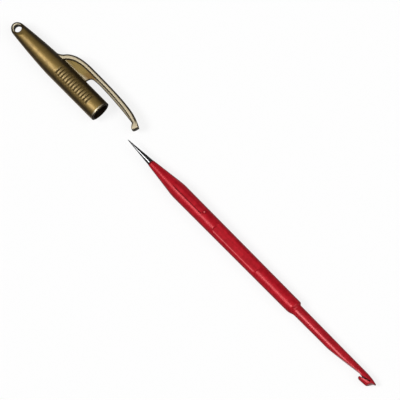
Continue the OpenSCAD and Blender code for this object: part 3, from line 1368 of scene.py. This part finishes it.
    def build(self) -> bpy.types.Object:
        """The handle's mesh, with the tang's bed inside.

        Returns:
            The new piece.
        """
        front = np.radians(self.angles())
        turns = np.concatenate([front, np.pi - front[::-1][1:-1]])
        behind = stations(*self.rows)[:, None]
        radius, marks = self.surface(behind, turns[None, :])
        radius[-1] = self.radius(self.joint)
        bed = self.needle.tang()[::-1]
        rings = [turned(bed, turns, on_tool), turned(np.hstack([behind, radius]), turns, on_tool)]
        none = np.zeros((len(bed), len(turns)))
        marks = {name: np.concatenate([none, mark]) for name, mark in marks.items()}
        skin = Skin("panel", "slot", "rubbed")
        numbers = skin.tube(np.concatenate(rings), **marks)
        skin.close(numbers[0], on_tool(bed[0, 0], 0.0, 0.0))
        self.hook(front).add_to(skin)
        return skin.piece("red_handle")


@dataclass
class GripGrooves:
    """The grooves across both faces of the cap, cut by one rule.

    A groove's bottom and a ridge's half width are shares of the width and of the pitch. The
    run-out is the span past the half span, in radians, over which a groove ends.
    """

    first: float = 6.2
    pitch: float = 1.52
    count: int = 13
    width: float = 0.72
    depth: float = 0.3
    half_span: float = 36.0
    skin_r: float = 4.3
    bottom: float = 0.62
    ridge_half: float = 0.52
    run_out: Span = (-0.24, 0.04)

    def inputs(self) -> dict[str, tuple[str, float]]:
        """Named inputs of the tree.

        Returns:
            The kind and the value of each, in metres and radians.
        """
        return {
            "First groove": ("NodeSocketFloat", (MOUTH_X + self.first) * MM),
            "Pitch": ("NodeSocketFloat", self.pitch * MM),
            "Count": ("NodeSocketInt", self.count),
            "Width": ("NodeSocketFloat", self.width * MM),
            "Depth": ("NodeSocketFloat", self.depth * MM),
            "Half span": ("NodeSocketFloat", math.radians(self.half_span)),
            "Axis across": ("NodeSocketFloat", AXIS_Y * MM),
            "Axis height": ("NodeSocketFloat", AXIS_Z * MM),
            "Skin radius": ("NodeSocketFloat", self.skin_r * MM),
        }

    def tree(self) -> bpy.types.NodeTree:
        """Builds the tree.

        Returns:
            A geometry tree that sinks the grooves and marks how deep each point lies.
        """
        tree = bpy.data.node_groups.new("grip_grooves", "GeometryNodeTree")
        tree.interface.new_socket("Cap", in_out="INPUT", socket_type="NodeSocketGeometry")
        for name, (kind, _) in self.inputs().items():
            tree.interface.new_socket(name, in_out="INPUT", socket_type=kind)
        tree.interface.new_socket("Finish", in_out="INPUT", socket_type="NodeSocketMaterial")
        tree.interface.new_socket("Cap", in_out="OUTPUT", socket_type="NodeSocketGeometry")
        graph = Graph(tree)
        ports = graph.add("NodeGroupInput").socket.node.outputs
        given = {socket.name: Wire(graph, socket) for socket in ports if socket.name}
        along, across, up = graph.parts(graph.add("GeometryNodeInputPosition"))
        across = across - given["Axis across"]
        up = up - given["Axis height"]
        reach = graph.reach(across, up)
        steps = (along - given["First groove"]) / given["Pitch"]
        nearest = graph.most(graph.math("ROUND", steps), 0.0)
        nearest = graph.math("MINIMUM", nearest, given["Count"] - 1.0)
        off = abs(steps - nearest)
        level = graph.step(off * given["Pitch"] / given["Width"], 0.0, self.bottom)
        turn = graph.math("ARCTAN2", abs(across), abs(up))
        within = 1 - graph.step(turn - given["Half span"], *self.run_out)
        within = within * graph.math("GREATER_THAN", reach, given["Skin radius"])
        share = (1 - level) * within
        ridge = level * within * graph.math("LESS_THAN", off, self.ridge_half)
        sink = share * given["Depth"] / reach
        sockets = {"X": 0.0, "Y": 0 - across * sink, "Z": 0 - up * sink}
        offset = graph.add("ShaderNodeCombineXYZ", None, sockets)
        cap = given["Cap"]
        for name, value in (("groove", share), ("ridge", ridge)):
            settings = {"data_type": "FLOAT", "domain": "POINT"}
            sockets = {"Geometry": cap, "Name": name, "Value": value}
            cap = graph.add("GeometryNodeStoreNamedAttribute", settings, sockets)
        cap = graph.add("GeometryNodeSetPosition", None, {"Geometry": cap, "Offset": offset})
        cap = graph.add("GeometryNodeRealizeInstances", None, {"Geometry": cap})
        sockets = {"Geometry": cap, "Material": given["Finish"]}
        cap = graph.add("GeometryNodeSetMaterial", None, sockets)
        graph.feed(tree.nodes.new("NodeGroupOutput"), {"Cap": cap})
        return tree

    def cut(self, piece: bpy.types.Object, material: bpy.types.Material) -> None:
        """Cuts the grooves into a piece and leaves it a plain mesh.

        Args:
            piece: The cap before its grooves.
            material: The finish that the tree sets.
        """
        tree = self.tree()
        modifier = piece.modifiers.new("grip_grooves", "NODES")
        modifier.node_group = tree
        given = [item for item in tree.interface.items_tree if item.in_out == "INPUT"]
        sockets = {item.name: item.identifier for item in given}
        for name, (_, value) in self.inputs().items():
            modifier[sockets[name]] = value
        modifier[sockets["Finish"]] = material
        view = bpy.context.evaluated_depsgraph_get()
        plain = bpy.data.meshes.new_from_object(piece.evaluated_get(view))
        piece.modifiers.remove(modifier)
        old = piece.data
        plain.name = old.name
        piece.data = plain
        bpy.data.meshes.remove(old)


@dataclass
class CapShell(Piece):
    """The bronze cap: bored shell, grip grooves, rim line and flattened end with the eye.

    The lip and the rim are the bends at the mouth, each as its distance ahead of the mouth
    and how far it stands off the bore or inside the skin. The rows are spans with steps.
    """

    finish: AntiqueBronze = field(default_factory=AntiqueBronze)
    grooves: GripGrooves = field(default_factory=GripGrooves)
    length: float = 54.0
    radius_mouth: float = 4.7
    mouth_edge: float = 0.3
    lip: tuple[Span, ...] = ((0.12, 0.07), (0.02, 0.22), (0.0, 0.3))
    rim: tuple[Span, ...] = ((0.0, 0.3), (0.04, 0.15), (0.14, 0.04))
    bore_r: float = 3.675
    seat_bore: float = 15.0
    seat_middle: float = 8.0
    nose_bore: Span = (31.0, 1.9)
    bore_end: float = 46.6
    straight: float = 28.5
    slope: float = 0.045
    bow: float = 330.0
    dome: float = 3.1
    eye: float = 50.6
    eye_r: float = 1.6
    eye_half: float = 1.7
    eye_run: float = 45.6
    eye_flat: float = 51.4
    eye_soft: float = 2.6
    eye_edge: float = 0.28
    # Spans of the painted shade on the eye's wall and round the end's outline, and of the painted
    # highlight on the end face
    eye_shade: Span = (0.36, 0.16)
    eye_highlight: Span = (0.16, 0.3)
    outline_shade: Span = (1.0, 0.75)
    face_highlight: Span = (0.75, 0.95)
    rim_line: float = 1.25
    rim_deep: float = 0.04
    rim_width: float = 0.17
    joint: float = 42.4
    columns: int = 144
    grid_clear: float = 0.08
    skin_rows: tuple[Triple, ...] = (
        (0.3, 2.0, 0.06),
        (2.0, 5.2, 0.4),
        (5.2, 25.6, 0.1),
        (25.6, 42.4, 0.7),
    )
    eye_rows: tuple[Triple, ...] = ((42.4, 52.6, 0.18), (52.6, 53.7, 0.09), (53.7, 53.98, 0.04))

    def __post_init__(self) -> None:
        """Works out the turned profile of the far end once."""
        start = self.length - self.dome
        taper = np.linspace(self.straight, start, 24)
        run = taper - self.straight
        radii = self.radius_mouth - self.slope * run - run**2 / (2 * self.bow)
        last = float(radii[-1])
        shoulder = (start + 1.2, last - 0.1)
        dome = cubic((start, last), shoulder, (self.length, 0.6 * last), (self.length, 0), 40)
        self.profile = joined(pairs(taper, radii), dome)

    def radius(self, ahead: Numbers) -> np.ndarray:
        """Outer radius of the cap, with the fine line behind its rim.

        Args:
            ahead: Distances ahead of the mouth.

        Returns:
            The radius at each.
        """
        plain = np.interp(ahead, self.profile[:, 0], self.profile[:, 1], left=self.radius_mouth)
        off = (np.asarray(ahead) - self.rim_line) / self.rim_width
        return plain - self.rim_deep * np.exp(-(off**2))

    def shell_line(self) -> tuple[np.ndarray, int]:
        """The shell's profile, from the end of the bore, out at the mouth and along the skin.

        Returns:
            Distance and radius along it, and the number of its points before the skin.
        """
        bore = [
            (self.bore_end, self.nose_bore[1]),
            self.nose_bore,
            (self.seat_bore, self.bore_r),
            (self.seat_middle, self.bore_r),
            (self.mouth_edge, self.bore_r),
        ]
        lip = [(ahead, self.bore_r + off) for ahead, off in self.lip]
        rim = [(ahead, self.radius_mouth - off) for ahead, off in self.rim]
        skin = stations(*self.skin_rows)
        line = joined(bore, lip, rim, pairs(skin, self.radius(skin)))
        return line, len(line) - len(skin)

    def eye_end(self, turns: np.ndarray) -> Plate:
        """The flattened end with the eye.

        Args:
            turns: Angles of the front half, in radians.

        Returns:
            The end as a form drawn from above.
        """
        rows = stations(*self.eye_rows)
        radii = self.radius(rows)
        side = joined(pairs(rows, -radii), [(self.length, 0.0)], pairs(rows, radii)[::-1])
        mouth = pairs(self.joint, self.radius(self.joint) * np.sin(turns))[::-1]
        outline = joined(side, mouth[1:-1])
        middle = np.array([self.eye, 0.0])

        def off_eye(view: np.ndarray) -> np.ndarray:
            """Distance of points from the eye's wall."""
            return np.linalg.norm(view - middle, axis=1) - self.eye_r

        rings = [self.eye_r + self.eye_edge * share for share in (0, *Bends.FINE.value)]
        hole, *layers = (arc(middle, radius, 0, 355, 72) for radius in rings)
        grid = pairs(rows[1:-3, None], radii[1:-3, None] * np.sin(turns[1:-1]))
        grid = grid[(off_eye(grid) > self.eye_edge + self.grid_clear) & inside(grid, outline)]
        top = np.array([self.eye_run, float(self.radius(self.eye_run)) + 0.1])
        low = np.array([self.eye_flat, self.eye_half])
        run_out = cubic(top, top + (self.eye_soft, -0.25), low - (self.eye_soft, 0), low, 40)

        def half(view: np.ndarray) -> np.ndarray:
            """Half thickness: the turned form, the flats with their run-out and the eye's edge.

            Args:
                view: Points seen from above.

            Returns:
                The half thickness at each.
            """
            full = half_round(self.radius(view[:, 0]), view[:, 1])
            flat = np.interp(view[:, 0], run_out[:, 0], run_out[:, 1])
            soft = np.clip(lower(full, flat, 0.006 * ease(0.05, 0.9, full)), 0, full)
            soft = np.where(view[:, 0] < self.eye_run, full, soft)
            return soft - fallen(np.maximum(off_eye(view), 0), self.eye_edge)

        def marks(view: np.ndarray) -> dict[str, np.ndarray]:
            """Where shade and a highlight are painted on the end.

            Args:
                view: Points seen from above.

            Returns:
                Painted shade on the eye's wall and round the outline, and a painted highlight on the
                face beyond the eye.
            """
            off = off_eye(view)
            edge = distance(view, side)
            past = view[:, 0] - self.eye
            # Painted shade on the eye's wall and in a dark outline round the end, carried by the
            # bore mark; a painted highlight on the face beyond the eye
            line = ease(*self.outline_shade, edge) * ease(-2, 0.4, past)
            face = ease(*self.face_highlight, edge) * ease(-0.2, 0.8, past)
            dark = np.maximum(ease(*self.eye_shade, off), line * 0.95)
            return {"bore": dark, "worn": face * ease(*self.eye_highlight, off)}

        seeds = np.concatenate([grid, *layers])
        return Plate(outline, half, marks, on_cap, seeds, hole, self.joint)

    def build(self) -> bpy.types.Object:
        """The cap's mesh before its grooves.

        Returns:
            The new piece.
        """
        turns = np.radians(np.arange(-90, 270, 360 / self.columns))
        line, first_of_skin = self.shell_line()
        bore = (np.arange(len(line)) < first_of_skin).astype(float)[:, None]
        skin = Skin("bore", "worn")
        numbers = skin.tube(turned(line, turns, on_cap), bore=bore)
        skin.close(numbers[0], on_cap(self.bore_end, 0.0, 0.0))
        self.eye_end(turns[: self.columns // 2 + 1]).add_to(skin)
        return skin.piece("bronze_cap")

    def dress(self, piece: bpy.types.Object) -> None:
        """Cuts the grooves and gives the cap its finish."""
        self.grooves.cut(piece, self.finish.material)


@dataclass
class PocketClip(Piece):
    """The pale gold clip: a T-shaped bar with a web at its root and a turned-in toe.

    Points are given by their distance ahead of the mouth and how far they stand out from the axis.
    The plate's, the toe's and the pale span are distances ahead of the mouth, the spans of painted
    shade and of the painted dark rim are depths in from an edge. The clearances are how far the
    mesh's inner points stay from the clip's lines.
    """

    finish: PaleGold = field(default_factory=PaleGold)
    reach: float = 10.4
    flange_half: float = 2.0
    flange_t: float = 1.8
    flange_least: float = 0.4
    web_half: float = 0.7
    key_r: float = 3.9
    cap_r: float = 4.7
    crest: float = 16.0
    heel: float = 27.6
    root: float = 29.7
    foot: Span = (31.4, 4.4)
    rise: Span = (28.467, 6.265)
    dip: Span = (-10.0, 9.2)
    toe_outer: Span = (-16.6, 6.65)
    toe_low: Span = (-15.6, 2.7)
    toe_inner: Span = (-13.2, 6.05)
    toe_round: float = 3.0
    rib_crest: Span = (9.0, 7.55)
    web_corner: Span = (13.2, 7.3)
    web_end: float = 14.1
    outer_round: float = 0.75
    inner_round: float = 0.25
    fillet: float = 0.2
    web_round: float = 0.18
    line_step: float = 0.16
    row_step: float = 0.2
    grid_step: float = 0.34
    outer_clear: float = 0.675
    under_clear: float = 0.3
    web_clear: float = 0.24
    row_clear: float = 0.05
    base_clear: float = 0.08
    plate_span: Span = (9.0, 12.5)
    toe_span: Span = (-13.5, -15.5)
    pale_span: Span = (20.0, 14.5)
    # Spans of painted shade in from the edges, and of the painted dark rim
    flange_shade: Span = (0.32, 0.06)
    web_shade: Span = (-0.48, -0.1)
    web_edge_shade: Span = (0.32, 0.1)
    toe_shade: Span = (0.3, 0.1)
    rim_shade: Span = (1.0, 0.62)

    def outer_line(self) -> np.ndarray:
        """The clip's outer edge.

        Returns:
            The line from the foot on the cap over the crest and round the toe.
        """
        crest = (self.crest, self.reach)
        dip = np.array(self.dip)
        toe = np.array(self.toe_outer)
        start = (self.root, self.key_r)
        back = cubic(start, (28.3, 8.3), (self.crest + 7.6, self.reach), crest, 30)
        return joined(
            cubic(self.foot, (30.3, 4.62), (29.07, 5.49), self.rise),
            back[7:],
            cubic(crest, (self.crest - 10.5, self.reach), dip + (6.5, 1.15), dip, 24),
            cubic(dip, dip - (2.2, 0.42), toe + (1.5, 0.95), toe),
            rounded(self.toe_outer, self.toe_low, self.toe_inner, self.toe_round, 16),
            [self.toe_inner],
        )

    def flange_line(self) -> np.ndarray:
        """The flange's inner edge.

        Returns:
            The line from the toe back to the heel in the cap's wall.
        """
        low = self.reach - self.flange_t
        toe = np.array(self.toe_inner)
        heel = (self.heel, self.key_r)
        under = (self.crest, low)
        line = joined(
            cubic(heel, (self.heel - 1.6, self.key_r + 2.8), (self.crest + 6.5, low), under),
            cubic(under, (self.crest - 10.5, low), toe + (7.8, 2.65), toe + (0.4, 0.5), 24),
            [self.toe_inner],
        )
        return line[::-1]

    def web_line(self) -> np.ndarray:
        """The web's free edge.

        Returns:
            The line from the toe along the rib to the web's end in the cap.
        """
        toe = np.array(self.toe_inner)
        crest = np.array(self.rib_crest)
        end = (self.web_end, self.key_r)
        return joined(
            cubic(toe, toe + (7, 0.9), crest + (-6, 0.05), crest, 24),
            rounded(self.rib_crest, self.web_corner, end, 1.6),
            [end],
        )

    def build(self) -> bpy.types.Object:
        """The clip's mesh.

        Returns:
            The new piece.
        """
        lines = (self.outer_line(), self.flange_line(), self.web_line())
        outer, under, web = (even(line, self.line_step) for line in lines)
        key = (self.heel, self.key_r)
        base = even(np.array([(self.web_end, self.key_r), key]), 0.5)
        heel = even(np.array([key, (self.foot[0] - 0.3, self.key_r), self.foot]), 0.3)
        outline = joined(outer, web, base, heel[:-1])
        flange = joined(outer, under, heel[1:-1])

        def parts(view: np.ndarray) -> tuple[np.ndarray, np.ndarray, np.ndarray]:
            """Where points lie in the T section.

            Args:
                view: Points in side view.

            Returns:
                The depth in the flange, below 0 in the web, and the depths in from the outer
                and the web's edge.
            """
            depth, from_outer = distance(view, under), distance(view, outer)
            depth = np.where(inside(view, flange) | (from_outer < NEAR), depth, -depth)
            return depth, from_outer, distance(view, web)

        def half(view: np.ndarray) -> np.ndarray:
            """Half thickness of the T-shaped bar with its edges rounded.

            Args:
                view: Points in side view.

            Returns:
                The half thickness at each.
            """
            depth, from_outer, from_web = parts(view)
            broad = self.flange_half - fallen(np.maximum(depth, 0), self.inner_round)
            broad = broad - fallen(from_outer, self.outer_round)
            narrow = self.web_half + fallen(-np.minimum(depth, 0), self.fillet)
            narrow = narrow - fallen(from_web, self.web_round)
            return np.where(depth >= -1e-6, np.maximum(broad, self.flange_least), narrow)

        def marks(view: np.ndarray) -> dict[str, np.ndarray]:
            """Where the clip is brown and where shade is painted on it.

            Args:
                view: Points in side view.

            Returns:
                The web, the painted shade along the edges, on the rib, at the toe and in the inner
                corner, and the painted dark rim.
            """
            depth, from_outer, from_web = parts(view)
            broad = depth >= -0.01
            # Painted shade under the flange in the inner corner, along the web's edge, on the rib,
            # at the toe and round the flange's outer rim
            corner = np.where(broad, ease(*self.flange_shade, depth), ease(*self.web_shade, depth))
            edge = np.where(broad, 0.0, ease(*self.web_edge_shade, from_web))
            plate = ease(*self.plate_span, view[:, 0])
            rib = np.where(broad, 0.0, 0.5 * (1 - plate))
            toe = ease(*self.toe_span, view[:, 0])
            end = toe * ease(*self.toe_shade, from_outer)
            pale = 0.6 + 1.1 * ease(*self.pale_span, view[:, 0])
            brown = plate * (0.1 + 0.9 * ease(0, 1, (view[:, 1] - self.cap_r) / pale))
            return {
                "web": np.where(broad, 0.0, brown),
                "dirt": np.max([corner, edge, rib, end], axis=0),
                "rim": np.where(broad, ease(*self.rim_shade, from_outer) * (1 - toe), 0.0),
            }

        spans = zip(outline.min(axis=0), outline.max(axis=0))
        along, across = (np.arange(low, high, self.grid_step) for low, high in spans)
        grid = pairs(along, across[:, None])
        kept = inside(grid, outline)
        clears = (self.outer_clear, self.under_clear, self.web_clear)
        for line, clear in zip((outer, under, web), clears):
            kept &= distance(grid, line) > clear
        seeds = [grid[kept]]
        rows = [
            (outer, self.outer_round, Bends.FINE),
            (web, self.web_round, Bends.PLAIN),
            (under, self.inner_round, Bends.PLAIN),
        ]
        for line, edge, bends in rows:
            for share in bends.value:
                row = beside(line, self.row_step, edge * share)
                kept = distance(row, line) > edge * share * CLEAR
                for other, _, _ in rows:
                    if other is not line:
                        kept &= distance(row, other) > self.row_clear
                seeds.append(row[kept & inside(row, outline)])
        seeds = np.concatenate([*seeds, under[2:-2]])
        kept = distance(seeds, joined(base, heel)) > self.base_clear
        seeds = seeds[kept & inside(seeds, outline)]
        skin = Skin("web", "dirt", "rim")
        Plate(outline, half, marks, on_clip, seeds).add_to(skin)
        return skin.piece("gold_clip")


# The studio


@dataclass
class Studio:
    """Floor, lamps, surroundings and the camera at the photograph's angle."""

    finish: PaleFloor = field(default_factory=PaleFloor)
    lean: float = 16.0
    roll: float = 4.0
    turn: float = 45.177
    pixel: float = 0.41525
    image: int = 400
    anchor: Span = (192.35, 204.55)
    away: float = 6.0
    clip_end: float = 100.0
    floor_tilt: float = 0.68
    floor_size: float = 12.0
    key_way: Triple = (0.33, 0.457, 0.826)
    key_light: float = 1.9
    key_spread: float = 24.0
    top_way: Triple = (-0.5, -0.3, 0.812)
    top_light: float = 1.25
    top_spread: float = 50.0
    surround: float = 0.12

    def picture(self) -> tuple[Vector, Vector, Vector]:
        """The picture's right, its up and the way to the camera.

        Returns:
            Three unit vectors in the shared frame.
        """
        lean, roll, turn = (math.radians(a) for a in (self.lean, self.roll, self.turn))
        level = math.cos(lean)
        back = Vector((-math.sin(lean), math.sin(roll) * level, math.cos(roll) * level))
        along = (Vector((1, 0, 0)) - back * back.x).normalized()
        across = back.cross(along)
        right = -math.cos(turn) * along - math.sin(turn) * across
        up = math.sin(turn) * along - math.cos(turn) * across
        return right, up, back

    def camera(self) -> None:
        """Sets the camera, far off with a long lens."""
        right, up, back = self.picture()
        data = bpy.data.cameras.new("camera")
        width = self.image * self.pixel * MM
        data.lens = data.sensor_width * self.away / width
        data.clip_end = self.clip_end
        shift_x = (self.image / 2 - self.anchor[0]) * self.pixel * MM
        shift_y = (self.anchor[1] - self.image / 2) * self.pixel * MM
        aim = Vector((0, AXIS_Y, AXIS_Z)) * MM + right * shift_x + up * shift_y
        camera = placed("camera", data)
        rotation = Matrix((right, up, back)).transposed().to_4x4()
        camera.matrix_world = Matrix.Translation(aim + back * self.away) @ rotation
        bpy.context.scene.camera = camera

    def lamp(self, name: str, way: Triple, light: float, spread: float) -> None:
        """Adds a broad far lamp.

        Args:
            name: The lamp's name.
            way: The way to the lamp.
            light: What it throws on a surface that faces it.
            spread: How wide it looks, in degrees.
        """
        data = bpy.data.lights.new(name, "SUN")
        data.energy = light
        data.angle = math.radians(spread)
        lamp = placed(name, data)
        lamp.rotation_euler = Vector(way).to_track_quat("Z", "Y").to_euler()

    def floor(self) -> None:
        """Lays the floor, tilted a little so that the cap and the barrel both rest on it."""
        mesh = bpy.data.meshes.new("floor")
        half = self.floor_size / 2
        fall = math.tan(math.radians(self.floor_tilt))
        rest = MOUTH_X * MM
        corners = [(-half, -half), (half, -half), (half, half), (-half, half)]
        mesh.from_pydata([(x, y, (rest - x) * fall) for x, y in corners], [], [(0, 1, 2, 3)])
        mesh.materials.append(self.finish.material)
        placed("floor", mesh)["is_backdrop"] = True

    def set_up(self) -> None:
        """Sets the whole studio."""
        scene = bpy.context.scene
        scene.view_settings.view_transform = "Standard"
        self.camera()
        self.floor()
        self.lamp("key", self.key_way, self.key_light, self.key_spread)
        self.lamp("top", self.top_way, self.top_light, self.top_spread)
        scene.world = bpy.data.worlds.new("surround")
        scene.world.use_nodes = True
        sky = scene.world.node_tree.nodes["Background"]
        sky.inputs["Color"].default_value = (self.surround, self.surround, self.surround, 1)


def put_in_place(piece: bpy.types.Object, node: str, body: Body, slot: str) -> None:
    """Lets a piece stand for a node and ride on its body.

    Args:
        piece: The finished piece.
        node: The node that it stands for.
        body: The body that it rides on.
        slot: The node's material slot; not used.
    """
    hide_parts(node)
    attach(piece, body.value)
    log.info("%s: %d faces, for %s on %s", piece.name, len(piece.data.polygons), node, body.value)


def main() -> None:
    """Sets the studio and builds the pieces."""
    logging.basicConfig(level=logging.INFO, format="%(name)s %(message)s")
    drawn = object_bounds()
    Studio().set_up()
    needle = AwlNeedle()
    makers = [
        (needle, "awl_needle", Body.TOOL, "needle_steel"),
        (Handle(needle), "handle", Body.TOOL, "handle_red"),
        (CapShell(), "cap_shell", Body.CAP, "cap_bronze"),
        (PocketClip(), "pocket_clip", Body.CAP, "clip_gold"),
    ]
    for maker, node, body, slot in makers:
        piece = maker.build()
        maker.dress(piece)
        put_in_place(piece, node, body, slot)
    boxes = {"cad": drawn, "visual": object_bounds()}
    plain = {name: [[float(v) for v in corner] for corner in box] for name, box in boxes.items()}


if __name__ == "__main__":
    main()
